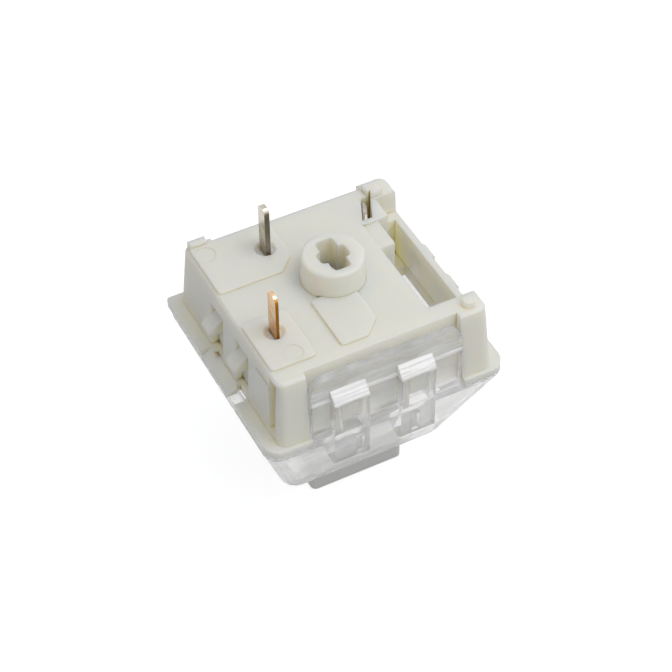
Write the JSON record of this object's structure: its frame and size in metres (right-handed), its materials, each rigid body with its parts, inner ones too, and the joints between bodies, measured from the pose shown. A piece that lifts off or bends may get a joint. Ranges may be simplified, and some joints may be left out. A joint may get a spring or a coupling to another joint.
{
  "type": "mechanical keyboard switch",
  "caption": "Clicky keyboard switch standing stem down: a boxed cross stem slides into a clear top housing, and an ivory bottom housing carries the solder pins and centre post.",
  "frame": {"origin": "centre of the stem's end face, on the stem's axis", "axes": "+Z along the stem's travel from the keycap end to the circuit board, so the switch stands upside down as pictured; -Y towards the side of the pins, +Y towards the lamp pocket; +X is one of the two sides with the clear loops"},
  "size_m": [0.015, 0.0156, 0.0182],
  "materials": {
    "bottom_housing": "ivory moulded plastic, slightly translucent",
    "top_housing": "clear moulded plastic",
    "stem": "pale grey-white moulded plastic",
    "return_spring": "bright spring steel",
    "click_bar": "spring steel wire",
    "moving_terminal": "nickel-coloured plated metal",
    "fixed_terminal": "copper-coloured metal with a gold-coloured flank",
    "contact_leaf": "thin spring metal",
    "moving_contact": "gold-coloured bead",
    "fixed_contact": "gold-coloured bead",
    "contact_pusher": "white moulded plastic",
    "contact_box_cover": "white moulded plastic"
  },
  "bodies": {
    "housing": {"bottom_housing": "bottom_housing", "top_housing": "top_housing", "moving_terminal": "moving_terminal", "fixed_terminal": "fixed_terminal", "fixed_contact": "fixed_contact", "contact_box_cover": "contact_box_cover", "return_spring": "return_spring"},
    "stem": {"stem": "stem"},
    "pusher": {"contact_pusher": "contact_pusher"},
    "leaf": {"contact_leaf": "contact_leaf", "moving_contact": "moving_contact"},
    "click_bar": {"click_bar": "click_bar"}
  },
  "joints": [
    {"name": "stem_press", "type": "slide", "parent": "housing", "child": "stem", "axis": [0, 0, 1], "range_m": [0, 0.0036], "stiffness_N_per_m": 80, "springref_m": -0.00375, "deforming": ["return_spring"]},
    {"name": "pusher_slide", "type": "slide", "parent": "housing", "child": "pusher", "axis": [0, -1, 0], "range_m": [0, 0.000215]},
    {"name": "leaf_bend", "type": "hinge", "parent": "housing", "child": "leaf", "pos_m": [-0.00338, -0.0043, 0.011], "axis": [0, 0, -1], "range_deg": [0, 4.13]},
    {"name": "click_flick", "type": "hinge", "parent": "housing", "child": "click_bar", "pos_m": [-0.00427, 0.00436, 0.01445], "axis": [0.9119, -0.4104, 0], "range_deg": [0, 5], "stiffness_Nm_per_rad": 0.0075}
  ],
  "couplings": [
    {"joint": "pusher_slide", "follows": "stem_press", "ratio": 0.059722},
    {"joint": "leaf_bend", "follows": "stem_press", "rad_per_m": 20.007}
  ]
}
